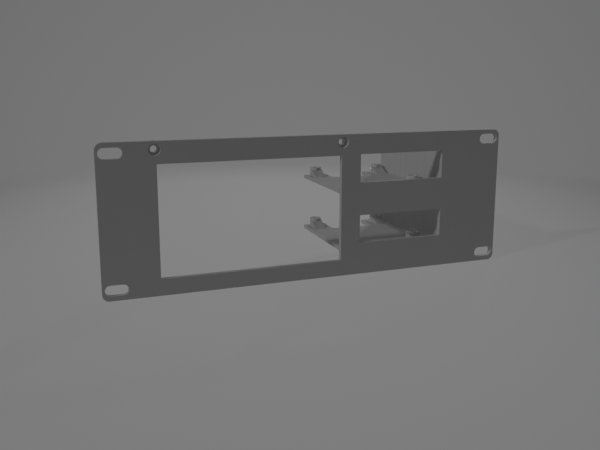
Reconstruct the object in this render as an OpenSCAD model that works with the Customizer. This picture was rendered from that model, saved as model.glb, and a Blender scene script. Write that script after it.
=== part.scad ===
// Rack mount bracket: a two-unit panel for a ten-inch rack, printed in one piece.
// Millimetres. +X to the right seen from the front, +Y towards the back, +Z up.
// The frame sits at the middle of the panel, on its back face, which lies against the rack's rails.

/* [Panel] */
// Width across the rack
panel_width = 254; // [250:0.5:256]
// Height, a little under two rack units
panel_height = 88; // [87:0.1:88.9]
// Thickness of the panel
panel_thickness = 3; // [2.4:0.1:5]
// Radius of the four outer corners
corner_radius = 4; // [1:0.5:6]

/* [Rack slots] */
// Distance between the left and right slots, middle to middle
slot_spacing_x = 238; // [236:0.1:239]
// Distance between the upper and lower slots, middle to middle
slot_spacing_z = 76.2; // [75:0.1:77]
// Length of a slot, end to end
slot_length = 13; // [9:0.1:13]
// Height of a slot
slot_height = 6.3; // [4.5:0.1:7]

/* [Device opening] */
// Width of the large opening
opening_width = 110; // [60:0.5:112]
// Height of the large opening
opening_height = 65.5; // [30:0.5:66]
// Middle of the large opening, left of the panel's middle
opening_offset_x = 39.7; // [38:0.1:44]
// Middle of the large opening, below the panel's middle
opening_offset_z = 1.5; // [0:0.1:3]

/* [Hanger screws] */
// Distance between the two screw holes over the opening
screw_spacing = 112; // [90:0.5:113]
// Middle of the two screw holes, left of the panel's middle
screw_offset_x = 39.7; // [38:0.1:42]
// Middle of the screw holes, below the panel's top edge
screw_inset = 4.7; // [4.7:0.1:5.4]
// Clear hole for the screw
screw_hole_diameter = 4; // [3:0.1:4.6]
// Pocket for the screw's head
screw_pocket_diameter = 6.8; // [6:0.1:7.6]
// Depth of the pocket from the front face
screw_pocket_depth = 3; // [1.5:0.1:4]
// Outside of the boss behind each hole
boss_diameter = 9.2; // [8.6:0.1:9.3]
// Length of the boss behind the panel
boss_length = 4; // [2:0.5:8]

/* [Board bays] */
// Width of a window in front of a board
window_width = 57; // [50:0.5:58]
// Height of a window
window_height = 17.6; // [14:0.1:19]
// Middle of the windows, right of the panel's middle
window_offset_x = 56.4; // [55:0.1:57]
// Middle of the upper window, over the panel's middle
window_offset_z = 22.8; // [21:0.1:24]
// Height from one bay to the next
bay_pitch = 38; // [37:0.1:38.5]

/* [Trays] */
// Left edge of the trays
tray_left = 23.8; // [20:0.1:26]
// How far the tray runs back between its two rear tongues
tray_depth = 69; // [60:0.5:73]
// How far the rear tongues and the side wall run back
tongue_depth = 87; // [87:0.5:92]
// Half the gap between the two tongues
tongue_gap_half = 15.4; // [8:0.1:17]
// Radius in the corners of that gap
tongue_gap_radius = 3; // [1:0.5:5]
// Thickness of a tray
tray_thickness = 2.4; // [2:0.1:3]
// Height from a tray's top to the middle of its window
tray_drop = 16.9; // [16:0.1:18]

/* [Side wall] */
// Inner face of the side wall
wall_inner_x = 87; // [86:0.1:90]
// Thickness of the side wall
wall_thickness = 3; // [2:0.1:4]
// Top of the side wall over the panel's middle
wall_top = 33; // [25:0.5:42]

/* [Board posts] */
// Middle between the left and right posts
post_offset_x = 55.4; // [55:0.1:56.4]
// Distance between the left and right posts
post_spacing_x = 49; // [48.8:0.1:49.2]
// Distance between the front and rear posts
post_spacing_y = 58; // [57.8:0.1:58.2]
// Middle of the rear posts behind the panel's back face
post_rear_y = 82; // [80:0.5:82.5]
// Outside of a post
post_diameter = 8; // [7.7:0.1:9]
// Height of a post over the tray
post_height = 6; // [4:0.5:7]
// Hole through a post and the tray below it
post_hole_diameter = 2.7; // [2:0.1:3]
// Width of the sloping rib in front of a post
rib_width = 7.6; // [3:0.1:7.8]
// How far that rib reaches forward from the post's middle
rib_reach = 12; // [8:0.5:20]
// How far below the post's top the rib starts
rib_drop = 0.3; // [0.1:0.1:3]

/* [Hidden] */
$fn = 64;
// Joins run this far into each other, and cutters this far past a face.
bite = 1;
half_width = panel_width / 2;
half_height = panel_height / 2;
slot_run = slot_length - slot_height;
wall_outer_x = wall_inner_x + wall_thickness;
// Tops of the two trays.
tray_tops = [window_offset_z - tray_drop, window_offset_z - bay_pitch - tray_drop];
wall_bottom = tray_tops[1] - tray_thickness;
screw_z = half_height - screw_inset;
post_xs = [post_offset_x - post_spacing_x / 2, post_offset_x + post_spacing_x / 2];
post_ys = [post_rear_y - post_spacing_y, post_rear_y];

// A bore along Y through the panel and what stands behind it.
module bore_y(x, z, d, front, back) {
    translate([x, back, z]) rotate([90, 0, 0]) cylinder(d = d, h = back - front);
}

module block(x0, x1, y0, y1, z0, z1) {
    translate([x0, y0, z0]) cube([x1 - x0, y1 - y0, z1 - z0]);
}

// Takes the square edge off one corner of the plate.
module corner_cut(sx, sz) {
    r = corner_radius;
    cx = sx * (half_width - r);
    cz = sz * (half_height - r);
    difference() {
        translate([sx > 0 ? cx : cx - r - bite, -panel_thickness - bite, sz > 0 ? cz : cz - r - bite])
            cube([r + bite, panel_thickness + 2 * bite, r + bite]);
        bore_y(cx, cz, 2 * r, -panel_thickness - 2 * bite, 2 * bite);
    }
}

module rack_slot(x, z) {
    for (s = [-1, 1])
        bore_y(x + s * slot_run / 2, z, slot_height, -panel_thickness - bite, bite);
    block(x - slot_run / 2, x + slot_run / 2, -panel_thickness - bite, bite,
        z - slot_height / 2, z + slot_height / 2);
}

module panel() {
    difference() {
        union() {
            block(-half_width, half_width, -panel_thickness, 0, -half_height, half_height);
            for (s = [-1, 1])
                bore_y(-screw_offset_x + s * screw_spacing / 2, screw_z, boss_diameter, -bite, boss_length);
        }
        for (sx = [-1, 1], sz = [-1, 1]) {
            corner_cut(sx, sz);
            rack_slot(sx * slot_spacing_x / 2, sz * slot_spacing_z / 2);
        }
        block(-opening_offset_x - opening_width / 2, -opening_offset_x + opening_width / 2,
            -panel_thickness - bite, bite,
            -opening_offset_z - opening_height / 2, -opening_offset_z + opening_height / 2);
        for (k = [0, 1])
            block(window_offset_x - window_width / 2, window_offset_x + window_width / 2,
                -panel_thickness - bite, bite,
                window_offset_z - k * bay_pitch - window_height / 2,
                window_offset_z - k * bay_pitch + window_height / 2);
        for (s = [-1, 1]) {
            x = -screw_offset_x + s * screw_spacing / 2;
            bore_y(x, screw_z, screw_hole_diameter, -panel_thickness - bite, boss_length + bite);
            bore_y(x, screw_z, screw_pocket_diameter, -panel_thickness - bite,
                -panel_thickness + screw_pocket_depth);
        }
    }
}

// Outline of a tray seen from above, with the rounded gap between its tongues.
module tray_plate(top) {
    r = tongue_gap_radius;
    x0 = post_offset_x - tongue_gap_half;
    x1 = post_offset_x + tongue_gap_half;
    z0 = top - tray_thickness;
    difference() {
        block(tray_left, wall_outer_x, -bite, tongue_depth, z0, top);
        block(x0 + r, x1 - r, tray_depth, tongue_depth + bite, z0 - bite, top + bite);
        block(x0, x1, tray_depth + r, tongue_depth + bite, z0 - bite, top + bite);
        for (x = [x0 + r, x1 - r])
            translate([x, tray_depth + r, z0 - bite]) cylinder(r = r, h = tray_thickness + 2 * bite);
    }
}

// A post with the sloping rib that carries it forward onto the tray.
module board_post(x, y, top) {
    translate([x, y, top - bite]) cylinder(d = post_diameter, h = post_height + bite);
    translate([x - rib_width / 2, y, top]) rotate([90, 0, 90])
        linear_extrude(rib_width)
            polygon([[0, -bite], [0, post_height - rib_drop], [-rib_reach, 0], [-rib_reach, -bite]]);
}

module tray(top) {
    difference() {
        union() {
            tray_plate(top);
            for (x = post_xs, y = post_ys) board_post(x, y, top);
        }
        for (x = post_xs, y = post_ys)
            translate([x, y, top - tray_thickness - bite])
                cylinder(d = post_hole_diameter, h = tray_thickness + post_height + 2 * bite);
    }
}

module bracket() {
    color([0.2, 0.2, 0.21]) union() {
        panel();
        block(wall_inner_x, wall_outer_x, -bite, tongue_depth, wall_bottom, wall_top);
        for (top = tray_tops) tray(top);
    }
}

bracket();
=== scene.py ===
import math
import bpy
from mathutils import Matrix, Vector

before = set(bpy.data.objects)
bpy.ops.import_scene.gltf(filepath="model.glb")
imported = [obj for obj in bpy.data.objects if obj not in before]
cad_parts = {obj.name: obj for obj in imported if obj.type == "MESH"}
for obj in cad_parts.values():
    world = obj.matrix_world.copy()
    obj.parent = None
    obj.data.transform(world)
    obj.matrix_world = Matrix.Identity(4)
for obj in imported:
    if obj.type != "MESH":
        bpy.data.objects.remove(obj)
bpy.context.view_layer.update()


class Sock:
    # wraps a node's output, so that an expression on it adds Math nodes
    def __init__(self, shader, out):
        self.shader = shader
        self.out = out

    def math(self, operation, *others):
        return self.shader.node("ShaderNodeMath", {"operation": operation}, self, *others)

    def __add__(self, other):
        return self.math("ADD", other)

    def __sub__(self, other):
        return self.math("SUBTRACT", other)

    def __rsub__(self, other):
        return self.shader.node("ShaderNodeMath", {"operation": "SUBTRACT"}, other, self)

    def __mul__(self, other):
        return self.math("MULTIPLY", other)

    def __gt__(self, other):
        return self.math("GREATER_THAN", other)

    def __abs__(self):
        return self.math("ABSOLUTE")

    __radd__ = __add__
    __rmul__ = __mul__


class Shader:
    # the node tree of a material or of the world, and the node that it ends in
    def __init__(self, owner, end="Principled BSDF"):
        owner.use_nodes = True
        self.owner = owner
        self.tree = owner.node_tree
        self.end = self.tree.nodes[end]

    def node(self, kind, settings=None, *values, out=0, **named):
        # the settings are set first, then the sockets by place, then those by name
        made = self.tree.nodes.new(kind)
        for key, value in (settings or {}).items():
            setattr(made, key, value)
        for k, value in enumerate(values):
            self.put(made.inputs[k], value)
        for key, value in named.items():
            self.put(made.inputs[key.replace("_", " ")], value)
        return Sock(self, made.outputs[out])

    def put(self, socket, value):
        if isinstance(value, Sock):
            self.tree.links.new(value.out, socket)
        else:
            socket.default_value = value

    def set(self, **sockets):
        for key, value in sockets.items():
            self.put(self.end.inputs[key.replace("_", " ")], value)

    def place(self):
        return self.node("ShaderNodeTexCoord", out="Object")

    def part(self, vector, axis):
        return self.node("ShaderNodeSeparateXYZ", None, vector, out=axis)

    def noise(self, where, scale, detail, dimensions="3D"):
        # runs from about -0.5 to 0.5
        socket = "W" if dimensions == "1D" else "Vector"
        made = self.node("ShaderNodeTexNoise", {"noise_dimensions": dimensions},
                         Scale=scale, Detail=detail, **{socket: where})
        return made - 0.5

    def tint(self, colour, tone):
        return self.node("ShaderNodeVectorMath", {"operation": "SCALE"}, colour, Scale=tone)

    def ridges(self, run, pitch):
        # rounded ridges side by side along run, 0 in the grooves and 1 on the crests
        return abs((run * (math.pi / pitch)).math("SINE"))

    def span(self, value, low, high, start, end, smooth=False):
        # goes from start to end as the value goes from low to high
        kind = "SMOOTHSTEP" if smooth else "LINEAR"
        return self.node("ShaderNodeMapRange", {"interpolation_type": kind},
                         value, low, high, start, end)


# lengths in metres
plasticLook = {
    "colour": (0.162, 0.162, 0.163),
    "cloudScale": 22.0,
    "cloudDetail": 3.0,
    "cloudSpread": 0.12,        # slow change of tone over the part
    "bandScale": 260.0,
    "bandDetail": 1.0,
    "bandSpread": 0.10,         # change of tone from layer to layer
    "grainScale": 1500.0,
    "grainDetail": 2.0,
    "grainSpread": 0.08,
    "specular": 0.3,
    "roughness": 0.66,
    "roughnessSpread": 0.12,
    "flatFrom": 0.7,            # a face that looks this much to the front or back is a flat one
    "layerPitch": 0.0002,       # printed layers, stacked from front to back
    "layerDepth": 0.000016,
    "linePitch": 0.00042,       # printed lines, slantwise over the flat faces
    "lineDepth": 0.000014,
    "grainDepth": 0.00002,
}


def makePlastic(look):
    s = Shader(bpy.data.materials.new("darkPlastic"))
    place = s.place()
    x, y, z = (s.part(place, axis) for axis in "XYZ")
    facing = s.part(s.node("ShaderNodeTexCoord", out="Normal"), "Y")
    flat = abs(facing) > look["flatFrom"]
    side = 1 - flat
    cloud = s.noise(place, look["cloudScale"], look["cloudDetail"])
    band = s.noise(y, look["bandScale"], look["bandDetail"], "1D")
    grain = s.noise(place, look["grainScale"], look["grainDetail"])
    tone = (1 + cloud * look["cloudSpread"] + grain * look["grainSpread"]
            + band * side * look["bandSpread"])
    layers = s.ridges(y, look["layerPitch"])
    lines = s.ridges(x + z, look["linePitch"] * math.sqrt(2))   # x + z grows fastest at 45 degrees
    height = (flat * lines * look["lineDepth"] + side * layers * look["layerDepth"]
              + grain * look["grainDepth"])
    s.set(Base_Color=s.tint(look["colour"], tone),
          Roughness=look["roughness"] + cloud * look["roughnessSpread"],
          Specular_IOR_Level=look["specular"],
          Normal=s.node("ShaderNodeBump", None, Strength=1.0, Distance=1.0, Height=height))
    return s.owner


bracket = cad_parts["bracket"]
plastic = makePlastic(plasticLook)
for slot in bracket.material_slots:
    slot.material = plastic
print("plastic on the bracket")

cameraLook = {
    "place": (-0.139077, -0.360066, 0.080756),
    "yaw": 0.342948,            # to the right of straight back, in radians
    "pitch": 0.179634,          # down, in radians
    "focalPixels": 648.955,
    "middleRow": 190.0,         # the row of the picture that lies straight ahead
    "frame": (600, 450),
    "sensorWidth": 36,
    "clip": (0.01, 20),
}


def makeCamera(look):
    width, height = look["frame"]
    data = bpy.data.cameras.new("camera")
    data.sensor_fit = "HORIZONTAL"
    data.sensor_width = look["sensorWidth"]
    data.lens = look["focalPixels"] / width * look["sensorWidth"]
    data.shift_y = (look["middleRow"] - height / 2) / width
    data.clip_start, data.clip_end = look["clip"]
    camera = bpy.data.objects.new("camera", data)
    camera.location = look["place"]
    camera.rotation_euler = (math.pi / 2 - look["pitch"], 0, -look["yaw"])
    bpy.context.scene.collection.objects.link(camera)
    bpy.context.scene.camera = camera


makeCamera(cameraLook)
print("camera set")

floorLook = {
    "z": -0.044,                # level with the bracket's lower edge
    "sides": 128,
    "middle": (-0.067, -0.131),
    "radius": 0.72,
    "edge": (0.50, 0.68),       # the floor fades out between these radii
    "colour": 0.05,
    "roughness": 0.95,
    "paintedLight": 0.2113,             # painted light: an oval pool of light given as the floor's emission, strongest in the oval's middle
    "paintedLightMiddle": (0.070, 0.260),
    "paintedLightTurn": 0.342948,       # the oval is turned as the camera is
    "paintedLightReach": (0.530, 1.102),
    "paintedLightLeast": 0.54,          # the share of the painted light that is left far out
}


def makeFloor(look):
    s = Shader(bpy.data.materials.new("paleFloor"))
    place = s.place()
    cx, cy = look["middle"]
    away = s.node("ShaderNodeVectorMath", {"operation": "DISTANCE"}, place,
                  (cx, cy, look["z"]), out="Value")
    # painted light: the emission below paints an oval pool of light on the floor, brightest in its
    # middle and fading to a floor-wide share far out
    paintedLightPlace = s.node("ShaderNodeMapping", {"vector_type": "TEXTURE"}, place,
                       (*look["paintedLightMiddle"], look["z"]), (0, 0, -look["paintedLightTurn"]),
                       (*look["paintedLightReach"], 1))
    paintedLightAway = s.node("ShaderNodeVectorMath", {"operation": "LENGTH"}, paintedLightPlace, out="Value")
    paintedLight = (1 - paintedLightAway * paintedLightAway).math("MAXIMUM", look["paintedLightLeast"])
    s.set(Base_Color=(look["colour"],) * 3 + (1,), Roughness=look["roughness"],
          Specular_IOR_Level=0.0, Emission_Color=s.tint((look["paintedLight"],) * 3, paintedLight),
          Emission_Strength=1.0, Alpha=s.span(away, *look["edge"], 1.0, 0.0, smooth=True))
    turns = [2 * math.pi * k / look["sides"] for k in range(look["sides"])]
    rim = [(cx + look["radius"] * math.cos(turn), cy + look["radius"] * math.sin(turn), look["z"])
           for turn in turns]
    mesh = bpy.data.meshes.new("floor")
    mesh.from_pydata(rim, [], [tuple(range(look["sides"]))])
    mesh.materials.append(s.owner)
    floor = bpy.data.objects.new("floor", mesh)
    bpy.context.scene.collection.objects.link(floor)


makeFloor(floorLook)
print("floor laid")

# the way each light travels, its strength, how wide it looks in degrees, and if it casts shadows;
# the fills from the front and above slant apart, so that the posts' ribs stay as dim as the trays
lightLook = {
    "keyLight": ((1.64, 0.50, -1.0), 1.65, 4.0, True),
    "backLight": ((-1.0, -1.05, -0.80), 0.43, 4.0, True),
    "fillLeft": ((1, 0, 0), 0.93, 0, False),
    "fillFront": ((0, 1, 0.28), 0.715, 0, False),
    "fillAbove": ((0, -0.6, -1), 1.01, 0, False),
    "fillRight": ((-1, 0, 0), 0.80, 0, False),
    "fillBehind": ((0, -1, 0), 0.80, 0, False),
    "fillBelow": ((0, 0, 1), 0.31, 0, False),
}


def makeLights(look):
    for name, (travel, strength, width, shadow) in look.items():
        lamp = bpy.data.lights.new(name, "SUN")
        lamp.energy = strength
        lamp.angle = math.radians(width)
        lamp.use_shadow = shadow
        light = bpy.data.objects.new(name, lamp)
        light.rotation_euler = Vector(travel).to_track_quat("-Z", "Y").to_euler()
        bpy.context.scene.collection.objects.link(light)


makeLights(lightLook)
print("lights set")

backdropLook = {
    "brightWay": (0.318, 0.923, -0.216),
    "spread": (0.80, 1.0),      # from the cosine where it is dimmest to where it is brightest
    "strength": (0.147, 0.191),
}


def makeBackdrop(look):
    s = Shader(bpy.data.worlds.new("studio"), "Background")
    way = s.node("ShaderNodeTexCoord", out="Generated")
    towards = s.node("ShaderNodeVectorMath", {"operation": "DOT_PRODUCT"}, way,
                     Vector(look["brightWay"]).normalized(), out="Value")
    s.set(Color=s.span(towards, *look["spread"], *look["strength"]))
    s.owner.cycles_visibility.diffuse = False   # the fill lights light the part in its place
    bpy.context.scene.world = s.owner


makeBackdrop(backdropLook)
print("backdrop set")
